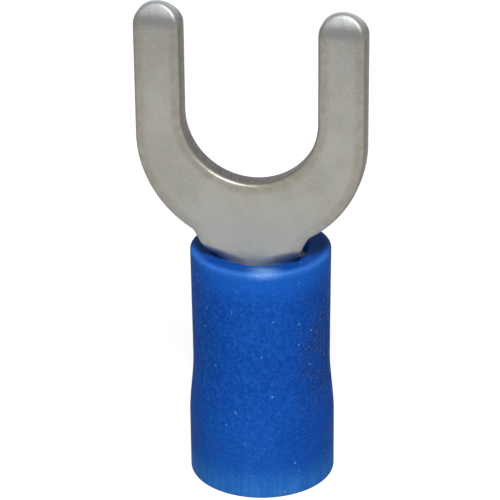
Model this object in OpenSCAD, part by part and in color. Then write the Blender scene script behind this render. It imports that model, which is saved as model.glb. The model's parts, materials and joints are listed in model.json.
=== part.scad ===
// Insulated fork terminal, in millimetres, standing on the wire end of its sleeve.
// The barrel runs along Z, the fork opens upward and the flat front of the fork faces -Y.

/* [Fork] */
// Width of the slot, which clears an M5 stud
slot_w = 5.3; // [4.3:0.1:6.4]
// Width of one prong
prong_w = 1.85; // [1.5:0.05:2.2]
// Depth of the slot, from the prong tips to its round end
slot_depth = 7.05; // [5.5:0.05:9]
// Metal between the slot's round end and the palm's lower arc
palm_web = 2.8; // [2.3:0.05:4]
// Thickness of the copper sheet
sheet_t = 0.8; // [0.7:0.05:1]
// Radius of the stamped edges
edge_r = 0.14; // [0.06:0.01:0.2]
// Length of the coined slope at a prong tip
coin_len = 0.7; // [0.5:0.05:0.75]
// Thickness of the metal at the very tip
tip_t = 0.3; // [0.2:0.05:0.4]

/* [Neck and barrel] */
// Width of the neck where it meets the palm
neck_w = 4.3; // [3.8:0.1:4.8]
// Width of the neck where it leaves the barrel
root_w = 3.6; // [3:0.1:3.8]
// Spread of the neck into the palm, on each side
shoulder = 0.1; // [0.05:0.01:0.12]
// Spread of the neck along the barrel's end, on each side
root_fillet = 0.8; // [0.4:0.1:1.2]
// Height over which the rolled barrel opens into flat sheet
roll_len = 1.1; // [0.8:0.1:1.6]
// Height of the flat neck between that and the palm
neck_flat = 0.1; // [0.1:0.1:0.8]
// Inside diameter of the barrel
barrel_bore = 2.3; // [1.9:0.1:2.5]
// Length of the barrel
barrel_len = 4.8; // [4:0.1:6]
// Depth of the barrel's end below the sleeve's rim
barrel_recess = 0.5; // [0.4:0.1:1]
// Gap of the butt seam at the back of the barrel
seam_gap = 0.08; // [0.05:0.01:0.2]
// Chamfer at the wire end of the barrel
barrel_chamfer = 0.25; // [0.1:0.05:0.4]
// Depth of the gripping grooves inside the barrel
groove_depth = 0.1; // [0.05:0.01:0.15]
// Spacing of the gripping grooves
groove_pitch = 0.9; // [0.7:0.1:1.1]

/* [Sleeve] */
// Length of the sleeve
sleeve_len = 9.9; // [9:0.1:12]
// Wall round the barrel at the rim next to the fork
rim_wall = 0.86; // [0.6:0.02:1.2]
// Wall round the barrel at the waist
waist_wall = 0.82; // [0.6:0.02:1.2]
// Wall of the bell at the wire end
bell_wall = 0.7; // [0.5:0.05:1]
// Height of the straight part of the bell
bell_h = 2.5; // [1.5:0.1:3]
// Height of the waist
waist_h = 5.2; // [4.5:0.1:7]
// Bore for the insulation of the wire
entry_d = 4.5; // [4.2:0.1:4.8]
// Length of the taper between the wire bore and the barrel's seat
funnel_len = 0.6; // [0.3:0.1:1]
// Lead-in at the mouth of the wire bore
entry_lead = 0.3; // [0.1:0.05:0.4]
// Radius of the outer edge of the rim
rim_edge = 0.1; // [0.05:0.05:0.4]
// Radius of the outer edge of the bell
bell_edge = 0.1; // [0.05:0.05:0.3]

/* [Hidden] */

curve_fn = 96;
tin = [0.72, 0.71, 0.67];
blue = [0.10, 0.33, 0.68];

// Overlap of shapes that join, and how far the neck's skin lies inside the barrel's and the palm's
join = 0.3;
barrel_skin = 0.03;
palm_skin = 0.005;
// Reach of a cutter past the face that it cuts
past = 0.5;
// Height over which the neck spreads into the palm
shoulder_h = 0.3;
// Bow of the creases along which the neck turns from flat to rolled, where 1 is straight
crease_bow = 1.2;
// Angle at which the coined slope leaves the flat face, and how far its arcs reach below that point
coin_angle = 8;
coin_lap = 0.05;
// Chords of a rounded edge, strips across the neck and steps along it
edge_steps = 3;
neck_strips = 24;
neck_steps = 24;
// Number of gripping grooves
grooves = 3;
// Points along the curve between bell and waist
flare_steps = 10;

slot_r = slot_w / 2;
palm_r = slot_r + prong_w;
tip_r = prong_w / 2;
barrel_r = barrel_bore / 2;
seat_r = barrel_r + sheet_t;
roll_r = barrel_r + sheet_t / 2;

entry_r = entry_d / 2;
rim_r = seat_r + rim_wall;
waist_r = seat_r + waist_wall;
bell_r = entry_r + bell_wall;

barrel_top = sleeve_len - barrel_recess;
barrel_bottom = barrel_top - barrel_len;
palm_z = sleeve_len + roll_len + neck_flat;
arc_z = palm_z + sqrt(palm_r * palm_r - neck_w * neck_w / 4);
slot_z = arc_z + palm_web - prong_w;
tip_z = slot_z - slot_r + slot_depth;

// Radius of the coined slope, from its length, its drop and the angle at which it starts
coin_drop = (sheet_t - tip_t) / 2;
coin_r = (coin_len * coin_len + coin_drop * coin_drop)
       / (2 * (coin_drop * cos(coin_angle) - coin_len * sin(coin_angle)));

function unit(q) = min(max(q, 0), 1);
function ease(q) = unit(q) * unit(q) * (3 - 2 * unit(q));
function mix(a, b, q) = a + (b - a) * q;
function arc(cx, cy, r, from, to) =
    [for (i = [0:edge_steps]) let (a = mix(from, to, i / edge_steps)) [cx + r * cos(a), cy + r * sin(a)]];

// Cross-section of a strip of sheet with rounded edges, from x = 0 to its edge
function half_strip(reach) = concat(
    [[0, -sheet_t / 2]],
    arc(reach - edge_r, edge_r - sheet_t / 2, edge_r, -90, 0),
    arc(reach - edge_r, sheet_t / 2 - edge_r, edge_r, 0, 90),
    [[0, sheet_t / 2]]);

module strip(width) {
    polygon(half_strip(width / 2));
    mirror([1, 0]) polygon(half_strip(width / 2));
}

// Half disc of sheet with a rounded edge: the upper half, or turned over the lower one
module half_disc(r) {
    rotate([90, 0, 0])
        rotate_extrude(angle = 180, $fn = curve_fn) polygon(half_strip(r));
}

// Cutter for the slot's round end, flared at both faces to round its edges
module slot_end() {
    flare = slot_r + edge_r;
    rotate([90, 0, 0])
        rotate_extrude($fn = curve_fn)
            polygon(concat(
                [[0, -sheet_t / 2 - past], [flare, -sheet_t / 2 - past]],
                arc(flare, edge_r - sheet_t / 2, edge_r, 270, 180),
                arc(flare, sheet_t / 2 - edge_r, edge_r, 180, 90),
                [[flare, sheet_t / 2 + past], [0, sheet_t / 2 + past]]));
}

module palm() {
    difference() {
        union() {
            translate([0, 0, arc_z]) rotate([0, 180, 0]) half_disc(palm_r);
            translate([0, 0, arc_z]) linear_extrude(slot_z - arc_z) strip(2 * palm_r);
        }
        translate([0, 0, slot_z]) slot_end();
        translate([-palm_r, -sheet_t, palm_z - 2 * palm_r]) cube([2 * palm_r, 2 * sheet_t, 2 * palm_r]);
    }
}

// Side view of a coined tip: full thickness up to the slope, then two arcs that close in
module coin_profile() {
    slope = tip_r - coin_len;
    translate([-sheet_t, -past]) square([2 * sheet_t, past + slope - coin_lap]);
    translate([0, slope - coin_r * sin(coin_angle)])
        intersection_for(side = [-1, 1])
            translate([side * (coin_r * cos(coin_angle) - sheet_t / 2), 0])
                circle(coin_r, $fn = curve_fn);
}

// Rounded prong tip, coined thinner towards its end on both faces
module prong_tip() {
    intersection() {
        half_disc(tip_r);
        translate([-prong_w, 0, 0]) rotate([90, 0, 90]) linear_extrude(2 * prong_w) coin_profile();
    }
}

module prong() {
    linear_extrude(tip_z - tip_r - slot_z) strip(prong_w);
    translate([0, 0, tip_z - tip_r - slot_z]) prong_tip();
}

// The neck is a strip of sheet with a flat middle and rolled sides. The flat widens from nothing at the
// barrel to the whole strip at the palm, and the sides keep the barrel's radius.
function neck_flat_half(z) = (neck_w / 2 + shoulder) * pow(unit((z - sleeve_len) / roll_len), crease_bow);
function neck_share(z) = ease((z - barrel_top) / (palm_z - barrel_top));
function neck_skin(z) = mix(barrel_skin, palm_skin, neck_share(z));
function neck_reach(z) =
    mix(root_w, neck_w, neck_share(z)) / 2 - neck_skin(z)
    + shoulder * pow(max(1 + (z - palm_z) / shoulder_h, 0), 2);
function neck_fillet(z) = root_fillet * pow(max(1 - max(z - barrel_top, 0) / barrel_recess, 0), 2);
function neck_half(z) =
    let (flat = neck_flat_half(z), reach = neck_reach(z))
    neck_fillet(z) + min(reach, flat) + roll_r * asin(max(reach - flat, 0) / seat_r) * PI / 180;
function bent(s, t, flat) =
    let (r = roll_r - t, a = max(abs(s) - flat, 0) / roll_r * 180 / PI)
    [sign(s) * (min(abs(s), flat) + r * sin(a)), roll_r - r * cos(a)];

// Outline of the neck at one height, as positions along the strip and across its thickness
function neck_outline(half, skin) =
    let (e = edge_r, h = sheet_t / 2 - skin, w = half - e, n = neck_strips)
    concat(
        [for (i = [0:n]) [mix(-w, w, i / n), -h]],
        [[half, e - h], [half, h - e]],
        [for (i = [0:n]) [mix(w, -w, i / n), h]],
        [[-half, h - e], [-half, e - h]]);
function neck_ring(z) =
    [for (p = neck_outline(neck_half(z), neck_skin(z)))
        let (q = bent(p[0], p[1], neck_flat_half(z))) [q[0], q[1] - roll_r, z]];

module neck() {
    n = neck_strips;
    ring = 2 * n + 6;
    low = barrel_top - join;
    high = palm_z + join;
    points = [for (j = [0:neck_steps]) each neck_ring(mix(low, high, j / neck_steps))];
    sides = [for (j = [0:neck_steps - 1], i = [0:ring - 1])
        let (a = j * ring + i, b = j * ring + (i + 1) % ring)
        each [[a, a + ring, b], [b, a + ring, b + ring]]];
    cap = concat(
        [for (i = [0:n - 1]) each [[i, i + 1, 2 * n + 3 - i], [i + 1, 2 * n + 2 - i, 2 * n + 3 - i]]],
        [[n, n + 1, n + 2], [n, n + 2, n + 3]],
        [[2 * n + 3, 2 * n + 4, 2 * n + 5], [2 * n + 3, 2 * n + 5, 0]]);
    top = [for (f = cap) [for (i = [2, 1, 0]) f[i] + neck_steps * ring]];
    polyhedron(points, concat(sides, cap, top));
}

// Rolled barrel with its butt seam, its wire-end chamfer and its gripping grooves
module barrel() {
    mouth = barrel_r + barrel_chamfer;
    groove_r = barrel_r + groove_depth;
    first_groove = barrel_bottom + (barrel_len - (grooves - 1) * groove_pitch) / 2;
    difference() {
        translate([0, 0, barrel_bottom]) cylinder(h = barrel_len, r = seat_r, $fn = curve_fn);
        translate([0, 0, barrel_bottom - past])
            cylinder(h = barrel_len + 2 * past, r = barrel_r, $fn = curve_fn);
        translate([0, 0, barrel_bottom])
            rotate_extrude($fn = curve_fn)
                polygon([[0, -past], [mouth + past, -past], [0, mouth]]);
        for (i = [0:grooves - 1])
            translate([0, 0, first_groove + i * groove_pitch])
                rotate_extrude($fn = curve_fn) polygon([[0, -groove_r], [groove_r, 0], [0, groove_r]]);
        translate([-seam_gap / 2, 0, barrel_bottom - past])
            cube([seam_gap, seat_r + past, barrel_len + 2 * past]);
    }
}

module terminal_body() {
    color(tin) {
        translate([0, -roll_r, 0]) {
            palm();
            for (side = [-1, 1])
                translate([side * (slot_r + tip_r), 0, slot_z]) prong();
        }
        neck();
        barrel();
    }
}

module insulating_sleeve() {
    flare = [for (i = [0:flare_steps])
        [mix(bell_r, waist_r, ease(i / flare_steps)), mix(bell_h, waist_h, i / flare_steps)]];
    bore = [[seat_r, sleeve_len], [seat_r, barrel_bottom], [entry_r, barrel_bottom - funnel_len],
            [entry_r, entry_lead], [entry_r + entry_lead, 0]];
    color(blue)
        rotate_extrude($fn = curve_fn)
            polygon(concat(
                arc(bell_r - bell_edge, bell_edge, bell_edge, -90, 0),
                flare,
                arc(rim_r - rim_edge, sleeve_len - rim_edge, rim_edge, 0, 90),
                bore));
}

terminal_body();
insulating_sleeve();
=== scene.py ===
# Insulated fork terminal: its finished meshes, materials, studio and camera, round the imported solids.
# Sizes are in millimetres and become metres when a mesh is made.
import json
import math
from typing import NamedTuple

import bmesh
import bpy
import numpy as np
from mathutils import Matrix, Vector, noise


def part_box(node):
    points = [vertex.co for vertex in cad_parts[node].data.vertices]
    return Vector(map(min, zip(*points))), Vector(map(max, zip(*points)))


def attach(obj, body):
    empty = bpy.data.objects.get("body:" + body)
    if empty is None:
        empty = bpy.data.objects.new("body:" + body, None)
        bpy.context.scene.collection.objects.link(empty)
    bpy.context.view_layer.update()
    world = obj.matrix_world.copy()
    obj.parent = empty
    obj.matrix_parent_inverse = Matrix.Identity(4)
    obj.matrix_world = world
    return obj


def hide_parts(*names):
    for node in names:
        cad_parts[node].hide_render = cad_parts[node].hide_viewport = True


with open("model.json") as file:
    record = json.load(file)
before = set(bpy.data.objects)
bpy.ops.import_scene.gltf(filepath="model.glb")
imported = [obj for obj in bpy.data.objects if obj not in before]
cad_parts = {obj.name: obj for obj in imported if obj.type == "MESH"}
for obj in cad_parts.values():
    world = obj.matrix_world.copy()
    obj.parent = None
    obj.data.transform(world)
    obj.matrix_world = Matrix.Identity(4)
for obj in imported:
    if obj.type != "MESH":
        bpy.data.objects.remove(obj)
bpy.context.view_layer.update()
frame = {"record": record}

MM = 0.001

# Sleeve: its walls, its heights, its edges, its clearance at the seat and the sink of its moulding
RIM_WALL = 0.86
WAIST_WALL = 0.82
BELL_H = 2.5
WAIST_H = 5.2
FUNNEL_LEN = 0.6
ENTRY_LEAD = 0.3
RIM_EDGE = 0.1
BELL_EDGE = 0.1
SEAT_EDGE = 0.02
SEAT_GAP = 0.001
MOULD_SINK = 0.012
SINK_SCALE = 0.6

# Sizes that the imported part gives
mounts = {mount["name"]: mount for mount in frame["record"]["mounts"]}
body_low, body_high = (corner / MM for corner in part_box("terminal_body"))
sleeve_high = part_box("insulating_sleeve")[1] / MM
palm_front_y = mounts["palm_front"]["pos_m"][1] / MM
palm_back_y = mounts["palm_back"]["pos_m"][1] / MM
slot_r = mounts["stud_slot"]["dims"]["r_mm"]
slot_z = mounts["stud_slot"]["pos_m"][2] / MM
barrel_r = mounts["wire_barrel"]["dims"]["r_mm"]
entry_r = mounts["insulation_entry"]["dims"]["r_mm"]
sheet_t = palm_back_y - palm_front_y
palm_r = body_high.x
tip_z = body_high.z
tip_r = (palm_r - slot_r) / 2
barrel_bottom = body_low.z
seat_r = barrel_r + sheet_t
roll_r = barrel_r + sheet_t / 2
sleeve_len = sleeve_high.z
rim_r = seat_r + RIM_WALL
waist_r = seat_r + WAIST_WALL
bell_r = min(sleeve_high.x, sleeve_high.y)

# Stamped sheet: radius of its edges on the punched front and on the back, and the coined roll-off of the tips
FRONT_EDGE = 0.2
BACK_EDGE = 0.1
COIN_LEN = 0.85
TIP_T = 0.27
TIP_CROWN = 0.07

# Wear along the sheet's edges: how far it reaches over the faces, and its share where the rounding starts
WEAR_REACH = 0.4
WEAR_START = 0.4

# Neck and barrel
PALM_WEB = 2.8
NECK_W = 4.3
ROOT_W = 3.6
SHOULDER = 0.1
SHOULDER_H = 0.3
ROOT_FILLET = 0.8
ROLL_LEN = 1.1
NECK_FLAT = 0.1
CREASE_BOW = 1.2
BARREL_RECESS = 0.5
SEAM_GAP = 0.08
BARREL_CHAMFER = 0.25
GROOVE_DEPTH = 0.1
GROOVE_PITCH = 0.9
GROOVES = 3

barrel_top = sleeve_len - BARREL_RECESS
roll_top = sleeve_len + ROLL_LEN
palm_z = roll_top + NECK_FLAT
arc_z = slot_z - PALM_WEB + 2 * tip_r
tip_base = tip_z - tip_r
seam_s = math.pi * roll_r - SEAM_GAP / 2
first_groove = (barrel_top + barrel_bottom - (GROOVES - 1) * GROOVE_PITCH) / 2
groove_heights = [first_groove + i * GROOVE_PITCH for i in range(GROOVES)]

# Floor: half its side, its colour, and how much it glows for the rays that see it, so that it looks white
WHITE = (1.0, 1.0, 1.0)
FLOOR_HALF = 2000.0
FLOOR_COLOUR = (0.35, 0.35, 0.35)
FLOOR_ROUGHNESS = 0.9
FLOOR_GLOW = 0.85

# World: light from all round, light that is added low behind the part, and the directions where it fades in
FRONT_FILL = 0.08
BACK_FILL = 1.4
BACK_FADE = (0.1, 0.9)
LOW_FADE = (0.6, 0.05)

# Softbox: its place, the side of its square and its power in watts
LAMP_PLACE = (32, -121, 139)
LAMP_SIDE = 40
LAMP_POWER = 0.373

# Camera; its clipping is in metres
SENSOR_WIDTH = 36.0
LENS = 182.0
CLIP_RANGE = (0.005, 5.0)
CAMERA_PLACE = (19.59, -89.05, 51.82)
CAMERA_TARGET = (-0.33, -0.48, 9.87)
CAMERA_ROLL = math.radians(-0.59)

# Columns and rows of the sheet's mesh
PRONG_COLUMNS = 28
PRONG_ROWS = 18
NECK_COLUMNS = 16
PALM_ARC_ROWS = 26
PALM_SIDE_ROWS = 4
NECK_ROWS = 30
WING_COLUMNS = 12
EDGE_ROWS = 5
BARREL_STEP = 0.35
SHOULDER_SAMPLES = 600
WELD = 0.0004

# Places of the terminal's materials in its list
PLATED = 0
SHEARED = 1

# Columns of the sleeve's mesh, and the steps along its section
SLEEVE_SEGMENTS = 192
BELL_EDGE_STEPS = 8
BELL_STEPS = 10
FLARE_STEPS = 28
WAIST_STEPS = 20
RIM_EDGE_STEPS = 10
RIM_FACE_STEPS = 4
SEAT_EDGE_STEPS = 4
FUNNEL_STEPS = 6
LEAD_STEPS = 3

# Tin plating: its colours, its roughness from blotch to blotch and at the tips, and the depth of its relief
TIN_WARM = (0.272, 0.25, 0.206)
TIN_GREENISH = (0.244, 0.258, 0.22)
TIN_BLOTCH = (0.35, 0.344, 0.32)
# Painted shade: the prongs darker towards their tips
TIN_PRONG_SHADE = (0.185, 0.188, 0.178)
TIN_GRAIN = (0.4, 0.395, 0.372)
# Painted dark reflection: a band below each tip's highlight
TIN_TIP_DARK_REFLECTION = (0.115, 0.127, 0.15)
TIN_THINNED = (0.2, 0.168, 0.12)
# Painted shade on the rounded edges of the sheet
TIN_ROUNDING_SHADE = (0.095, 0.082, 0.074)
# Painted highlight: paler, bluer tips
TIN_TIP_HIGHLIGHT = (0.24, 0.278, 0.32)
# Painted reflection of the blue sleeve on the neck
TIN_NECK_BLUE_REFLECTION = (0.3, 0.33, 0.35)
TIN_METALLIC = 0.65
TIN_ROUGHNESS = (0.34, 0.44)
TIN_TIP_ROUGHER = 0.1
TIN_RELIEF = 0.01

# Wall of the punched edge
WALL_DARK = (0.085, 0.075, 0.079)
WALL_PALE = (0.14, 0.127, 0.131)
# Painted highlight on the wall at the tips
WALL_TIP_HIGHLIGHT = (0.6, 0.62, 0.635)
WALL_METALLIC = 0.5
WALL_ROUGHNESS = 0.48
WALL_RELIEF = 0.02

# Vinyl: its colours, the middle of its painted spot of light reflected from the palm, the strength of its
# dust, its gloss and its relief
VINYL_DEEP = (0.0036, 0.066, 0.37)
VINYL = (0.006, 0.08, 0.425)
VINYL_GRAIN = (0.014, 0.12, 0.5)
VINYL_PALE_MOTTLE = (0.016, 0.125, 0.5)
VINYL_DARK_MOTTLE = (0.003, 0.05, 0.32)
# Painted light: floor bounce on the lower sleeve
VINYL_LOW_BOUNCE_LIGHT = (0.01, 0.11, 0.48)
# Painted shade on the sleeve's right side
VINYL_RIGHT_SHADE = (0.002, 0.048, 0.33)
# Trimming streaks at the wire end, with painted bounce light from the floor
VINYL_TRIM_STREAKS_AND_BOUNCE = (0.042, 0.23, 0.63)
VINYL_UNDER_RIM = (0.01, 0.12, 0.56)
# Painted shade on the rim face near the metal
VINYL_RIM_FACE_SHADE = (0.002, 0.045, 0.27)
# Painted highlight along the rim's rounded edge
VINYL_RIM_EDGE_HIGHLIGHT = (0.055, 0.205, 0.63)
# Painted light reflected from the palm onto the rim's front
VINYL_RIM_REFLECTED_LIGHT = (0.18, 0.37, 0.75)
VINYL_SCUFFED = (0.014, 0.045, 0.17)
GRIT = (0.26, 0.37, 0.52)
DUST = (0.3, 0.52, 0.78)
# Middle of the painted spot of reflected light
REFLECTED_LIGHT_X = 0.7
COARSE_DUST = 0.4
HAIRS = 0.3
VINYL_ROUGHNESS = (0.62, 0.7)
SCUFF_ROUGHER = 0.15
VINYL_SPECULAR = 0.05
VINYL_RELIEF = 0.015


def ease(q):
    """Smooth step from 0 to 1, level at both ends."""
    q = np.clip(q, 0, 1)
    return q * q * (3 - 2 * q)


def mix(a, b, q):
    return a + (b - a) * q


# The terminal is a flat blank, given by a place s across it and a height z, that is rolled into shape

def flat_half(z):
    """Half width of the sheet's flat middle; from there to its edges the sheet has the barrel's radius."""
    opening = (NECK_W / 2 + SHOULDER) * np.clip((z - sleeve_len) / ROLL_LEN, 0, 1) ** CREASE_BOW
    return np.where(z >= roll_top, palm_r, opening)


def coin_drop(s, z):
    """Depth to which each face of a prong tip is pressed in: most at its end, a little more at its sides."""
    rise = np.clip((z - tip_z) / COIN_LEN + 1, 0, 1)
    aside = (np.abs(s) - slot_r - tip_r) / tip_r
    return (sheet_t - TIP_T) / 2 * rise ** 2 + TIP_CROWN * aside ** 2 * ease(rise)


def bore_cut(z):
    """Depth of the gripping grooves and of the wire-end chamfer in the barrel's inside."""
    cut = np.maximum(BARREL_CHAMFER - (z - barrel_bottom), 0)
    for height in groove_heights:
        cut = np.maximum(cut, GROOVE_DEPTH - np.abs(z - height))
    return cut


def formed(s, z, t):
    """Place of the blank's point (s, z) at a depth t, which runs from the front face to the back face."""
    half = sheet_t / 2
    coined = half - coin_drop(s, z)
    t = t / half * np.where(t > 0, coined - bore_cut(z), coined)
    flat = np.minimum(np.abs(s), flat_half(z))
    turn = (np.abs(s) - flat) / roll_r
    radius = roll_r - t
    return np.stack([np.sign(s) * (flat + radius * np.sin(turn)), -radius * np.cos(turn), z], -1)


def neck_half(z):
    """Half width of the blank along the neck, with its spread at the palm and its fillet at the barrel."""
    share = ease((z - barrel_top) / (palm_z - barrel_top))
    reach = mix(ROOT_W, NECK_W, share) / 2 + SHOULDER * np.maximum(1 + (z - palm_z) / SHOULDER_H, 0) ** 2
    fillet = ROOT_FILLET * np.maximum(1 - (z - barrel_top) / BARREL_RECESS, 0) ** 2
    flat = flat_half(z)
    rolled = roll_r * np.arcsin(np.maximum(reach - flat, 0) / seat_r)
    return fillet + np.minimum(reach, flat) + rolled


def shoulder_height():
    """Height at which the neck's side runs into the palm's arc."""
    z = np.linspace(palm_z, palm_z + SHOULDER_H, SHOULDER_SAMPLES)
    palm_half = np.sqrt(palm_r ** 2 - (arc_z - z) ** 2)
    return z[np.argmin(np.abs(palm_half - neck_half(z)))]


def line(start, end, steps):
    return np.linspace(start, end, steps + 1)


def arc(centre, radius, start, end, steps):
    a = np.radians(np.linspace(start, end, steps + 1))
    return np.stack([centre[0] + radius * np.cos(a), centre[1] + radius * np.sin(a)], -1)


def blank_outline():
    """Right half of the blank's edge, from the slot's lowest point round to the barrel's wire end."""
    join_z = shoulder_height()
    join_angle = math.degrees(math.asin((join_z - arc_z) / palm_r))
    heights = np.linspace(join_z, barrel_top, NECK_ROWS + 1)
    neck = np.stack([neck_half(heights), heights], -1)
    arc_rows = NECK_COLUMNS + PALM_ARC_ROWS + PALM_SIDE_ROWS
    return {
        "slot": arc((0, slot_z), slot_r, 270, 360, arc_rows),
        "prong_in": line((slot_r, slot_z), (slot_r, tip_base), PRONG_ROWS),
        "tip": arc((slot_r + tip_r, tip_base), tip_r, 180, 0, 2 * PRONG_COLUMNS),
        "prong_out": line((palm_r, tip_base), (palm_r, slot_z), PRONG_ROWS),
        "palm_side": line((palm_r, slot_z), (palm_r, arc_z), PALM_SIDE_ROWS),
        "palm_arc": arc((0, arc_z), palm_r, 0, join_angle, PALM_ARC_ROWS),
        "neck": neck,
        "barrel_end": line(neck[-1], (seam_s, barrel_top), WING_COLUMNS),
        "seam": np.array([(seam_s, z) for z in barrel_rows()]),
        "wire_end": line((seam_s, barrel_bottom), (0, barrel_bottom), WING_COLUMNS + NECK_COLUMNS),
    }


def barrel_rows():
    """Heights of the barrel's rows, from its top down, with a row at each corner of a groove or chamfer."""
    corners = [barrel_bottom, barrel_bottom + BARREL_CHAMFER, barrel_top]
    for height in groove_heights:
        corners += [height - GROOVE_DEPTH, height, height + GROOVE_DEPTH]
    corners.sort()
    rows = []
    for low, high in zip(corners, corners[1:]):
        steps = math.ceil((high - low) / BARREL_STEP)
        rows += list(np.linspace(low, high, steps + 1)[:-1])
    return [*rows, barrel_top][::-1]


def joined(outline):
    """All points of an outline in one row, with the points where two stretches meet counted once."""
    return np.concatenate([stretch[:-1] for stretch in outline.values()] + [outline["wire_end"][-1:]])


def inset(outline, distance):
    """The outline moved into the metal, less where the metal is thin, with its stretches' names kept."""
    points = joined(outline)
    mirror = points * (-1, 1)
    before = np.concatenate([mirror[1:2], points[:-1]])
    after = np.concatenate([points[1:], mirror[-2:-1]])

    def side(tangent):
        tangent = tangent / np.linalg.norm(tangent, axis=1, keepdims=True)
        return np.stack([-tangent[:, 1], tangent[:, 0]], -1)

    first, second = side(points - before), side(after - points)
    normal = first + second
    normal /= np.sum(normal * first, axis=1, keepdims=True)
    thinned = 1 - coin_drop(points[:, :1], points[:, 1:]) / (sheet_t / 2)
    moved = points - normal * thinned * distance
    made, start = {}, 0
    for name, stretch in outline.items():
        made[name] = moved[start:start + len(stretch)]
        start += len(stretch) - 1
    return made


def ruled(first, second, columns):
    """Grid of straight rows between two lines of points."""
    q = np.linspace(0, 1, columns + 1)[None, :, None]
    return first[:, None] * (1 - q) + second[:, None] * q


def patch(left, right, bottom, top):
    """Grid that fills four edges: left and right run upward, bottom and top run to the right."""
    v = np.linspace(0, 1, len(left))[:, None, None]
    u = np.linspace(0, 1, len(bottom))[None, :, None]
    corners = (bottom[0] * (1 - u) + bottom[-1] * u) * (1 - v) + (top[0] * (1 - u) + top[-1] * u) * v
    return bottom[None] * (1 - v) + top[None] * v + left[:, None] * (1 - u) + right[:, None] * u - corners


def face_grids(edge):
    """Grids over the right half of the blank inside an edge: palm, prong, tip, neck and barrel."""
    side = PRONG_COLUMNS // 2
    middle = np.linspace(0, 1, NECK_COLUMNS + 1)[:, None]
    neck_rows = [np.array([0, end[1]]) * (1 - middle) + end * middle for end in edge["neck"]]
    palm_edge = np.concatenate([edge["palm_side"][:-1], edge["palm_arc"]])[::-1]
    palm = ruled(edge["slot"], np.concatenate([neck_rows[0][:-1], palm_edge]), PRONG_COLUMNS)
    prong = ruled(edge["prong_in"], edge["prong_out"][::-1], PRONG_COLUMNS)
    tip = patch(edge["tip"][:side + 1], edge["tip"][::-1][:side + 1], prong[-1], edge["tip"][side:-side])
    wire_end = edge["wire_end"][::-1]
    columns = np.concatenate([neck_rows[-1][:-1], edge["barrel_end"]])
    barrel = [columns]
    for end in edge["seam"][1:-1]:
        share = wire_end[:, :1] / wire_end[-1, 0]
        barrel.append(np.concatenate([share * end[0], np.full_like(share, end[1])], 1))
    barrel.append(wire_end)
    return [palm, prong, tip, np.array(neck_rows), np.array(barrel)]


def edge_profile():
    """Lines of the rounded edge, from the front face to the back: distance into the metal, depth, and a share
    that is wear and, on the rounding, painted shade.
    """
    half = sheet_t / 2
    a = np.linspace(0, math.pi / 2, EDGE_ROWS + 1)
    front_wear_and_shade = mix(WEAR_START, 1, np.sin(a))
    back_wear_and_shade = mix(WEAR_START, 1, np.cos(a))
    front = np.stack([FRONT_EDGE * (1 - np.sin(a)), FRONT_EDGE * (1 - np.cos(a)) - half, front_wear_and_shade], -1)
    back = np.stack([BACK_EDGE * (1 - np.cos(a)), half - BACK_EDGE * (1 - np.sin(a)), back_wear_and_shade], -1)
    return np.concatenate([front, back])


def face_wear(grid, outline, edge_r):
    """Wear of a face's points: none in the middle of the sheet, and more towards its rounded edge."""
    gap = np.linalg.norm(grid[:, :, None] - outline, axis=-1).min(-1) - edge_r
    return WEAR_START * ease(1 - gap / WEAR_REACH)


def add_grid(bm, grid, s_side, t, material, wear_and_shade):
    """Adds a grid of blank points as formed sheet; depth and the share of wear and painted shade are one
    value, one a row or one a point.
    """
    edge = bm.verts.layers.float["edge"]
    s, z = grid[..., 0] * s_side, grid[..., 1]
    places = formed(s, z, np.broadcast_to(t, s.shape)) * MM
    verts = [[bm.verts.new(place) for place in row] for row in places]
    for row, shares in zip(verts, np.broadcast_to(wear_and_shade, s.shape)):
        for vert, share in zip(row, shares):
            vert[edge] = share
    for low, high in zip(verts, verts[1:]):
        for a, b, c, d in zip(low, low[1:], high[1:], high):
            bm.faces.new((a, b, c, d)).material_index = material


def finish_mesh(bm, name, materials):
    """Welds a mesh, turns its faces outward and makes it a smooth piece with its materials."""
    bmesh.ops.remove_doubles(bm, verts=bm.verts, dist=WELD * MM)
    bmesh.ops.recalc_face_normals(bm, faces=bm.faces)
    mesh = bpy.data.meshes.new(name)
    bm.to_mesh(mesh)
    bm.free()
    mesh.shade_smooth()
    for material in materials:
        mesh.materials.append(material)
    piece = bpy.data.objects.new(name, mesh)
    bpy.context.scene.collection.objects.link(piece)
    return piece


def make_terminal(materials):
    """Formed sheet in two mirrored halves: its front, its back, and the rounded and sheared edge between."""
    outline = blank_outline()
    half = sheet_t / 2
    profile = edge_profile()
    rings = [joined(inset(outline, distance)) for distance in profile[:, 0]]
    bm = bmesh.new()
    bm.verts.layers.float.new("edge")
    for s_side in (-1, 1):
        for grid in face_grids(inset(outline, FRONT_EDGE)):
            add_grid(bm, grid, s_side, -half, PLATED, face_wear(grid, rings[EDGE_ROWS], FRONT_EDGE))
        for grid in face_grids(inset(outline, BACK_EDGE)):
            add_grid(bm, grid, s_side, half, PLATED, face_wear(grid, rings[EDGE_ROWS], BACK_EDGE))
        for i in range(len(rings) - 1):
            material = SHEARED if i == EDGE_ROWS else PLATED
            depth, wear_and_shade = profile[i:i + 2, 1:2], profile[i:i + 2, 2:]
            add_grid(bm, np.array(rings[i:i + 2]), s_side, depth, material, wear_and_shade)
    return finish_mesh(bm, "fork_stamping", materials)


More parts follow.
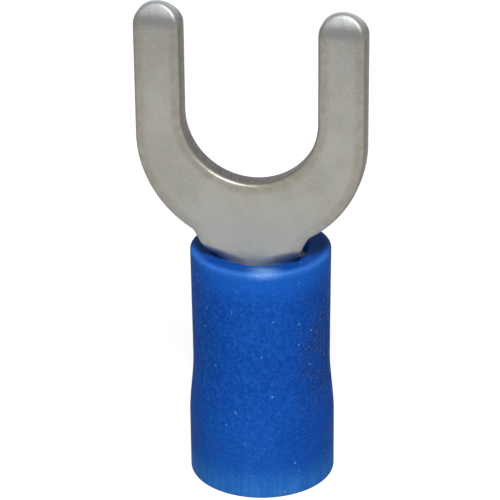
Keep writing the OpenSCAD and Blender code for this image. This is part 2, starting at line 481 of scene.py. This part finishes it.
def sleeve_profile():
    """Closed section of the sleeve as radius and height: up the outside from the wire end, down the bore."""
    bore_r = seat_r + SEAT_GAP
    q = np.linspace(0, 1, FLARE_STEPS + 1)
    flare = np.stack([mix(bell_r, waist_r, ease(q)), mix(BELL_H, WAIST_H, q)], -1)
    return np.concatenate([
        arc((bell_r - BELL_EDGE, BELL_EDGE), BELL_EDGE, -90, 0, BELL_EDGE_STEPS),
        line((bell_r, BELL_EDGE), (bell_r, BELL_H), BELL_STEPS)[1:-1],
        flare,
        line((waist_r, WAIST_H), (rim_r, sleeve_len - RIM_EDGE), WAIST_STEPS)[1:-1],
        arc((rim_r - RIM_EDGE, sleeve_len - RIM_EDGE), RIM_EDGE, 0, 90, RIM_EDGE_STEPS),
        line((rim_r - RIM_EDGE, sleeve_len), (bore_r + SEAT_EDGE, sleeve_len), RIM_FACE_STEPS)[1:-1],
        arc((bore_r + SEAT_EDGE, sleeve_len - SEAT_EDGE), SEAT_EDGE, 90, 180, SEAT_EDGE_STEPS),
        line((bore_r, barrel_bottom), (entry_r, barrel_bottom - FUNNEL_LEN), FUNNEL_STEPS),
        line((entry_r, ENTRY_LEAD), (entry_r + ENTRY_LEAD, 0), LEAD_STEPS),
    ])


def make_sleeve(materials):
    """Moulded tube, with a faint sink of its outer wall that is never quite even."""
    section = sleeve_profile()
    outside = np.clip((section[:, 0] - entry_r - ENTRY_LEAD) / MOULD_SINK, 0, 1)
    bm = bmesh.new()
    columns = []
    for turn in np.linspace(0, 2 * math.pi, SLEEVE_SEGMENTS, endpoint=False):
        column = []
        for (radius, height), share in zip(section, outside):
            place = Vector((math.cos(turn), math.sin(turn), 0)) * radius + Vector((0, 0, height))
            sink = MOULD_SINK * (0.5 + 0.5 * noise.noise(place * SINK_SCALE)) * share
            place.xy *= 1 - sink / radius
            column.append(bm.verts.new(place * MM))
        columns.append(column)
    for this, following in zip(columns, columns[1:] + columns[:1]):
        for i in range(len(this)):
            j = (i + 1) % len(this)
            bm.faces.new((this[i], following[i], following[j], this[j]))
    return finish_mesh(bm, "sleeve_moulding", materials)


def add_node(tree, kind, settings=(), inputs=()):
    """Adds a shader node; an input is a value or another node's output."""
    made = tree.nodes.new("ShaderNode" + kind)
    for name, value in dict(settings).items():
        setattr(made, name, value)
    for name, value in dict(inputs).items():
        if isinstance(value, bpy.types.NodeSocket):
            tree.links.new(value, made.inputs[name])
        else:
            made.inputs[name].default_value = value
    return made


def new_material(name):
    """A material with a Principled shader, and the object's own coordinates in millimetres."""
    material = bpy.data.materials.new(name)
    material.use_nodes = True
    tree = material.node_tree
    shader = tree.nodes["Principled BSDF"]
    place = add_node(tree, "TexCoord").outputs["Object"]
    scaled = add_node(tree, "Mapping", inputs={"Vector": place, "Scale": (1 / MM,) * 3})
    return material, tree, shader, scaled.outputs["Vector"]


def noise_of(tree, place, scale, detail, stretch=(1, 1, 1)):
    moved = add_node(tree, "Mapping", inputs={"Vector": place, "Scale": stretch}).outputs["Vector"]
    made = add_node(tree, "TexNoise", inputs={"Vector": moved, "Scale": scale, "Detail": detail})
    return made.outputs["Fac"]


def specks(tree, place, cells, size, share, stretch=(1, 1, 1), turn=0.0):
    """Scattered dots: cells to the millimetre, a dot's radius in cells, and the share of cells with a dot."""
    moved = add_node(tree, "Mapping", inputs={"Vector": place, "Scale": stretch, "Rotation": (0, turn, 0)})
    made = add_node(tree, "TexVoronoi", inputs={"Vector": moved.outputs["Vector"], "Scale": cells})
    dot = ranged(tree, made.outputs["Distance"], size, size / 2)
    chance = add_node(tree, "SeparateColor", inputs={"Color": made.outputs["Color"]}).outputs["Red"]
    return maths(tree, "MULTIPLY", dot, ranged(tree, chance, share, share / 2))


def axes_of(tree, place):
    return add_node(tree, "SeparateXYZ", inputs={"Vector": place}).outputs


def ranged(tree, value, start, end, low=0.0, high=1.0):
    """Goes smoothly from low, where the value is start, to high, where the value is end."""
    made = add_node(tree, "MapRange", {"interpolation_type": "SMOOTHSTEP"}, {
        "Value": value, "From Min": start, "From Max": end, "To Min": low, "To Max": high})
    return made.outputs["Result"]


def maths(tree, operation, first, second=0.0):
    made = add_node(tree, "Math", {"operation": operation}, {0: first, 1: second})
    return made.outputs["Value"]


def summed(tree, parts):
    """Sum of values, each times its weight."""
    total = 0.0
    for value, weight in parts:
        total = maths(tree, "ADD", total, maths(tree, "MULTIPLY", value, weight))
    return total


def blended(tree, share, first, second):
    made = add_node(tree, "MixRGB", inputs={"Fac": share, "Color1": first, "Color2": second})
    return made.outputs["Color"]


def bumped(tree, shader, height, distance):
    made = add_node(tree, "Bump", inputs={"Height": height, "Distance": distance * MM, "Strength": 1.0})
    tree.links.new(made.outputs["Normal"], shader.inputs["Normal"])


def rgba(colour):
    return (*colour, 1.0)


class Mask(NamedTuple):
    """Share that goes smoothly from low, where its source is start, to high, where its source is end."""
    source: str
    start: float
    end: float
    low: float = 0.0
    high: float = 1.0


def masked(tree, sources, masks):
    """Product of masks; where a source's name stands in place of a mask, its value counts as it is."""
    product = 1.0
    for mask in masks:
        if isinstance(mask, Mask):
            value = ranged(tree, sources[mask.source], *mask[1:])
        else:
            value = sources[mask]
        product = maths(tree, "MULTIPLY", product, value)
    return product


def layered(tree, sources, base, layers):
    """Colour that is built up on a base; a layer is a colour and the masks whose product is its share."""
    colour = rgba(base)
    for tint, *masks in layers:
        colour = blended(tree, masked(tree, sources, masks), colour, rgba(tint))
    return colour


def tin_plating():
    """Matt tin with blotches, grain and scratches, worn thin along its edges. Painted shade darkens its
    prongs and rounded edges, its tips carry a painted dark band and a painted highlight, and its neck a
    painted blue reflection of the sleeve.
    """
    material, tree, shader, place = new_material("tin_plating")
    height = axes_of(tree, place)["Z"]
    edge = add_node(tree, "Attribute", {"attribute_name": "edge"}).outputs["Fac"]
    below_tips = ranged(tree, height, tip_z - 1.0, tip_z - 0.3, 1.0, 0.0)
    blotch = noise_of(tree, place, scale=0.8, detail=4.0)
    tint = noise_of(tree, place, scale=3.2, detail=4.0)
    grain = noise_of(tree, place, scale=14.0, detail=3.0)
    scratch = noise_of(tree, place, scale=4.0, detail=2.0, stretch=(8.0, 1.0, 0.4))
    sources = {
        "height": height,
        "blotch": blotch,
        "tint": tint,
        "grain": grain,
        "edge": maths(tree, "MULTIPLY", edge, below_tips),
    }
    colour = layered(tree, sources, TIN_WARM, [
        (TIN_GREENISH, Mask("tint", 0.35, 0.65)),
        (TIN_BLOTCH, Mask("blotch", 0.3, 0.7, 0.25, 0.8)),
        # painted shade: the prongs darker towards their tips
        (TIN_PRONG_SHADE, Mask("height", arc_z, tip_z, 0.0, 0.42)),
        (TIN_GRAIN, Mask("grain", 0.5, 0.8, 0.0, 0.6)),
        # painted dark reflection: a band below each tip's highlight
        (TIN_TIP_DARK_REFLECTION, Mask("height", tip_z - 1.1, tip_z - 0.7),
         Mask("height", tip_z - 0.3, tip_z - 0.6, 0.0, 0.55)),
        (TIN_THINNED, Mask("edge", 0.0, WEAR_START), Mask("tint", 0.35, 0.65, 0.22, 0.55)),
        # painted shade on the rounded edges
        (TIN_ROUNDING_SHADE, Mask("edge", 0.67, 1.0, 0.0, 0.75)),
        # painted highlight at the tips
        (TIN_TIP_HIGHLIGHT, Mask("height", tip_z - 0.5, tip_z - 0.1, 0.0, 0.45)),
        # painted blue reflection of the sleeve on the neck
        (TIN_NECK_BLUE_REFLECTION, Mask("height", palm_z + 1.6, palm_z, 0.0, 0.4)),
    ])
    tree.links.new(colour, shader.inputs["Base Color"])
    shader.inputs["Metallic"].default_value = TIN_METALLIC
    rubbed = ranged(tree, height, tip_z - 1.0, tip_z - 0.3, 0.0, TIN_TIP_ROUGHER)
    rough = maths(tree, "ADD", ranged(tree, blotch, 0.3, 0.7, *TIN_ROUGHNESS), rubbed)
    tree.links.new(rough, shader.inputs["Roughness"])
    bumped(tree, shader, summed(tree, [(grain, 0.5), (scratch, 0.25), (tint, 1.5)]), TIN_RELIEF)
    return material


def sheared_edge():
    """Wall of the punched edge: duller metal with marks that run through the sheet, and a painted highlight
    at the tips.
    """
    material, tree, shader, place = new_material("sheared_edge")
    marks = noise_of(tree, place, scale=9.0, detail=3.0, stretch=(1.0, 0.15, 1.0))
    sources = {"height": axes_of(tree, place)["Z"], "marks": marks}
    colour = layered(tree, sources, WALL_DARK, [
        (WALL_PALE, Mask("marks", 0.35, 0.65)),
        # painted highlight on the wall at the tips
        (WALL_TIP_HIGHLIGHT, Mask("height", tip_z - 0.7, tip_z - 0.15, 0.0, 0.6)),
    ])
    tree.links.new(colour, shader.inputs["Base Color"])
    shader.inputs["Metallic"].default_value = WALL_METALLIC
    shader.inputs["Roughness"].default_value = WALL_ROUGHNESS
    bumped(tree, shader, marks, WALL_RELIEF)
    return material


def blue_vinyl():
    """Satin soft plastic, dusty and a little scuffed, paler under its rim, with streaks at its trimmed wire
    end. Painted light lifts its lower part and wire end, painted shade darkens its right side and its rim
    face near the metal, and a painted highlight and painted light reflected from the palm lie on the rim's
    front.
    """
    material, tree, shader, place = new_material("blue_vinyl")
    axes = axes_of(tree, place)
    level = add_node(tree, "Mapping", inputs={"Vector": place, "Scale": (1, 1, 0)}).outputs["Vector"]
    cloud = noise_of(tree, place, scale=0.6, detail=3.0)
    grain = noise_of(tree, place, scale=10.0, detail=4.0)
    drift = noise_of(tree, place, scale=0.8, detail=3.0)
    # distance across from the painted spot of reflected light
    from_reflected_light = maths(tree, "SUBTRACT", axes["X"], REFLECTED_LIGHT_X)
    sources = {
        "x": axes["X"],
        "y": axes["Y"],
        "z": axes["Z"],
        "radius": add_node(tree, "VectorMath", {"operation": "LENGTH"}, {0: level}).outputs["Value"],
        "aside": maths(tree, "ABSOLUTE", from_reflected_light),
        "cloud": cloud,
        "grain": grain,
        "drift": drift,
        "mottle": noise_of(tree, place, scale=5.5, detail=4.0),
        "streak": noise_of(tree, place, scale=5.5, detail=3.0, stretch=(1.0, 1.0, 0.07)),
        "patchy": noise_of(tree, place, scale=1.2, detail=4.0),
        "fine_dust": specks(tree, place, cells=9.0, size=0.32, share=0.6),
        "coarse_dust": specks(tree, place, cells=2.2, size=0.13, share=0.5),
        "hairs": specks(tree, place, cells=2.4, size=0.1, share=0.4, stretch=(1.6, 1.6, 0.3), turn=0.9),
        "grit": specks(tree, place, cells=12.0, size=0.42, share=0.7),
        "drifted_x": maths(tree, "ADD", axes["X"], ranged(tree, drift, 0.75, 0.25, -0.4, 0.4)),
        "drifted_z": maths(tree, "ADD", axes["Z"], ranged(tree, drift, 0.25, 0.75, -1.2, 1.2)),
    }
    scuffed = masked(tree, sources, [
        Mask("drifted_x", 1.5, 2.7),
        Mask("drifted_z", 1.6, 5.0),
        Mask("drifted_z", 9.6, 6.6),
        Mask("y", 2.0, 0.1),
        Mask("patchy", 0.36, 0.58, 0.25, 1.0),
    ])
    fine = masked(tree, sources, ["fine_dust", Mask("drift", 0.3, 0.7, 0.04, 0.13)])
    coarse = maths(tree, "MULTIPLY", sources["coarse_dust"], COARSE_DUST)
    hairs = maths(tree, "MULTIPLY", sources["hairs"], HAIRS)
    dust = maths(tree, "MAXIMUM", maths(tree, "MAXIMUM", fine, coarse), hairs)
    sources["scuffed"] = scuffed
    sources["dust"] = dust
    rim_z = sleeve_len
    colour = layered(tree, sources, VINYL_DEEP, [
        (VINYL, Mask("cloud", 0.35, 0.65)),
        (VINYL_GRAIN, Mask("grain", 0.45, 0.8, 0.0, 0.6)),
        (VINYL_PALE_MOTTLE, Mask("mottle", 0.45, 0.7, 0.0, 0.45)),
        (VINYL_DARK_MOTTLE, Mask("mottle", 0.55, 0.3, 0.0, 0.5)),
        # painted light: floor bounce, lighter towards the bottom
        (VINYL_LOW_BOUNCE_LIGHT, Mask("z", 5.0, 0.5, 0.0, 0.5)),
        # painted shade on the right side
        (VINYL_RIGHT_SHADE, Mask("x", 0.7, 2.2, 0.0, 0.35)),
        # trimming streaks, with painted bounce light from the floor
        (VINYL_TRIM_STREAKS_AND_BOUNCE, Mask("z", 1.6, 0.1), Mask("streak", 0.3, 0.7, 0.42, 0.8),
         Mask("mottle", 0.35, 0.65, 0.75, 1.0)),
        (VINYL_UNDER_RIM, Mask("z", rim_z - 1.5, rim_z - 0.4, 0.0, 0.65)),
        # painted shade on the rim face, darker towards the metal
        (VINYL_RIM_FACE_SHADE, Mask("z", rim_z - 0.06, rim_z - 0.01),
         Mask("radius", rim_r - 0.1, rim_r - 0.4, 0.0, 0.7)),
        # painted highlight along the rim's rounded edge
        (VINYL_RIM_EDGE_HIGHLIGHT, Mask("z", rim_z - 0.32, rim_z - 0.04),
         Mask("radius", rim_r - 0.35, rim_r - 0.05, 0.0, 0.45), Mask("grain", 0.3, 0.7, 0.7, 1.0)),
        # painted light reflected from the palm onto the rim's front
        (VINYL_RIM_REFLECTED_LIGHT, Mask("y", -1.8, -2.4), Mask("z", rim_z - 0.3, rim_z),
         Mask("aside", 0.9, 0.0, 0.0, 0.85), Mask("grain", 0.3, 0.7, 0.6, 1.0)),
        (VINYL_SCUFFED, Mask("scuffed", 0.0, 1.0, 0.0, 0.5)),
        (GRIT, "grit", "scuffed", Mask("grain", 0.35, 0.65, 0.2, 0.65)),
        (DUST, "dust"),
    ])
    tree.links.new(colour, shader.inputs["Base Color"])
    duller = maths(tree, "MULTIPLY", scuffed, SCUFF_ROUGHER)
    rough = maths(tree, "ADD", ranged(tree, cloud, 0.3, 0.7, *VINYL_ROUGHNESS), duller)
    tree.links.new(rough, shader.inputs["Roughness"])
    shader.inputs["Specular IOR Level"].default_value = VINYL_SPECULAR
    bumped(tree, shader, summed(tree, [(grain, 1.0), (dust, 0.6)]), VINYL_RELIEF)
    return material


def seen_rays(tree):
    """1 for rays that show the surroundings to the camera, in gloss or through a clear body, else 0."""
    ray = add_node(tree, "LightPath").outputs
    mirrored = maths(tree, "MAXIMUM", ray["Is Glossy Ray"], ray["Is Transmission Ray"])
    return maths(tree, "MAXIMUM", ray["Is Camera Ray"], mirrored)


def make_floor():
    """Wide pale floor that looks white to the camera and in gloss, and keeps the part's soft shadow."""
    bm = bmesh.new()
    bmesh.ops.create_grid(bm, x_segments=2, y_segments=2, size=FLOOR_HALF * MM)
    mesh = bpy.data.meshes.new("floor")
    bm.to_mesh(mesh)
    bm.free()
    floor = bpy.data.objects.new("floor", mesh)
    bpy.context.scene.collection.objects.link(floor)
    material = bpy.data.materials.new("pale_floor")
    material.use_nodes = True
    tree = material.node_tree
    shader = tree.nodes["Principled BSDF"]
    shader.inputs["Base Color"].default_value = rgba(FLOOR_COLOUR)
    shader.inputs["Roughness"].default_value = FLOOR_ROUGHNESS
    shader.inputs["Specular IOR Level"].default_value = 0.0
    shader.inputs["Emission Color"].default_value = rgba(WHITE)
    tree.links.new(maths(tree, "MULTIPLY", seen_rays(tree), FLOOR_GLOW), shader.inputs["Emission Strength"])
    mesh.materials.append(material)


def aim(thing, place, target, roll=0.0):
    """Puts a camera or lamp at a place, looking at a target, turned by roll about its own line of sight."""
    sight = Vector(target) - Vector(place)
    turn = sight.to_track_quat("-Z", "Y").to_matrix() @ Matrix.Rotation(roll, 3, "Z")
    thing.matrix_world = Matrix.Translation(Vector(place) * MM) @ turn.to_4x4()


def make_camera():
    camera = bpy.data.objects.new("camera", bpy.data.cameras.new("camera"))
    bpy.context.scene.collection.objects.link(camera)
    camera.data.sensor_width = SENSOR_WIDTH
    camera.data.lens = LENS
    camera.data.clip_start, camera.data.clip_end = CLIP_RANGE
    aim(camera, CAMERA_PLACE, CAMERA_TARGET, CAMERA_ROLL)
    bpy.context.scene.camera = camera


def make_softbox():
    lamp = bpy.data.lights.new("softbox", "AREA")
    lamp.shape = "RECTANGLE"
    lamp.size = LAMP_SIDE * MM
    lamp.size_y = LAMP_SIDE * MM
    lamp.energy = LAMP_POWER
    softbox = bpy.data.objects.new("softbox", lamp)
    bpy.context.scene.collection.objects.link(softbox)
    aim(softbox, LAMP_PLACE, (0, 0, sleeve_len))


def make_world():
    """White surroundings, which light the part a little from all round and more from low behind it."""
    world = bpy.data.worlds.new("studio")
    world.use_nodes = True
    tree = world.node_tree
    background = tree.nodes["Background"]
    background.inputs["Color"].default_value = rgba(WHITE)
    axes = axes_of(tree, add_node(tree, "TexCoord").outputs["Generated"])
    behind = ranged(tree, axes["Y"], *BACK_FADE)
    low = ranged(tree, axes["Z"], *LOW_FADE, 0.0, BACK_FILL)
    fill = maths(tree, "ADD", maths(tree, "MULTIPLY", behind, low), FRONT_FILL)
    seen = seen_rays(tree)
    unseen = maths(tree, "SUBTRACT", 1.0, seen)
    strength = maths(tree, "ADD", seen, maths(tree, "MULTIPLY", unseen, fill))
    tree.links.new(strength, background.inputs["Strength"])
    bpy.context.scene.world = world


terminal = make_terminal([tin_plating(), sheared_edge()])
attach(terminal, "root")
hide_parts("terminal_body")

sleeve = make_sleeve([blue_vinyl()])
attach(sleeve, "root")
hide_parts("insulating_sleeve")

make_floor()
make_camera()
make_softbox()
make_world()
bpy.context.scene.view_settings.view_transform = "Standard"
